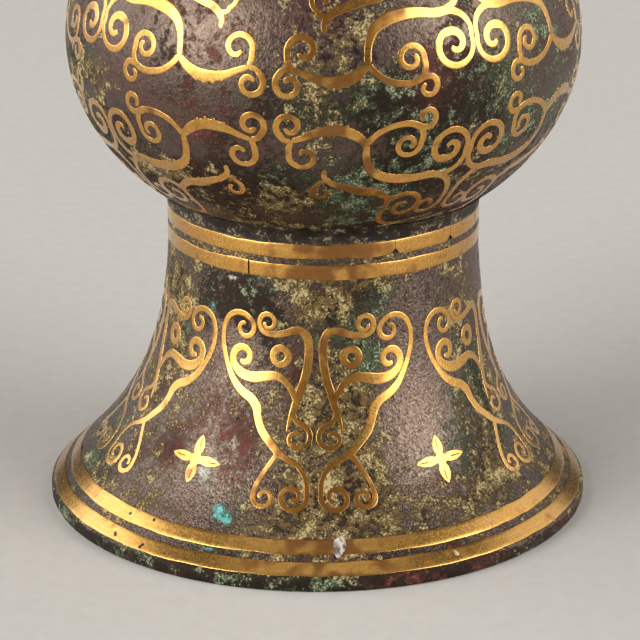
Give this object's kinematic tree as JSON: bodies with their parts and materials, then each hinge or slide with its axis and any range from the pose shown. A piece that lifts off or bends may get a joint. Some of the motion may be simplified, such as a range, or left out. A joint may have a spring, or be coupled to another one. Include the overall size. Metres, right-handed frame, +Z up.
{
  "type": "bronze gu vessel",
  "caption": "Tall bronze beaker with a spreading hollow foot, round belly and trumpet neck, inlaid with gold bands and masks; stands on its foot and holds flowers.",
  "frame": {"origin": "on the surface the vessel stands on, under its axis", "axes": "+Z up along the vessel's axis, front of the vessel towards -Y"},
  "size_m": [0.126, 0.126, 0.2116],
  "materials": {
    "bronze": "dark patinated cast bronze with patches of green and red",
    "solder": "dull dark solder",
    "gold": "burnished gold, finely scratched"
  },
  "bodies": {
    "root": {"foot_section": "bronze", "belly_section": "bronze", "neck_section": "bronze", "well_floor": "bronze", "waist_solder_ring": "solder", "neck_solder_ring": "solder", "floor_solder_ring": "solder", "foot_lower_band_1": "gold", "foot_lower_band_2": "gold", "foot_upper_band_1": "gold", "foot_upper_band_2": "gold", "foot_upper_band_3": "gold", "waist_lower_band_1": "gold", "waist_lower_band_2": "gold", "waist_upper_band_1": "gold", "waist_upper_band_2": "gold", "waist_upper_band_3": "gold", "shoulder_lower_band_1": "gold", "shoulder_lower_band_2": "gold", "shoulder_upper_band_1": "gold", "shoulder_upper_band_2": "gold", "mouth_lower_band_1": "gold", "mouth_lower_band_2": "gold", "mouth_upper_band_1": "gold", "mouth_upper_band_2": "gold", "mask_1_left_back": "gold", "mask_1_left_face": "gold", "mask_1_left_eye": "gold", "mask_1_right_back": "gold", "mask_1_right_face": "gold", "mask_1_right_eye": "gold", "mask_2_left_back": "gold", "mask_2_left_face": "gold", "mask_2_left_eye": "gold", "mask_2_right_back": "gold", "mask_2_right_face": "gold", "mask_2_right_eye": "gold", "mask_3_left_back": "gold", "mask_3_left_face": "gold", "mask_3_left_eye": "gold", "mask_3_right_back": "gold", "mask_3_right_face": "gold", "mask_3_right_eye": "gold", "mask_4_left_back": "gold", "mask_4_left_face": "gold", "mask_4_left_eye": "gold", "mask_4_right_back": "gold", "mask_4_right_face": "gold", "mask_4_right_eye": "gold", "mask_5_left_back": "gold", "mask_5_left_face": "gold", "mask_5_left_eye": "gold", "mask_5_right_back": "gold", "mask_5_right_face": "gold", "mask_5_right_eye": "gold", "rosette_1": "gold", "rosette_2": "gold", "rosette_3": "gold", "rosette_4": "gold", "rosette_5": "gold"}
  },
  "joints": []
}
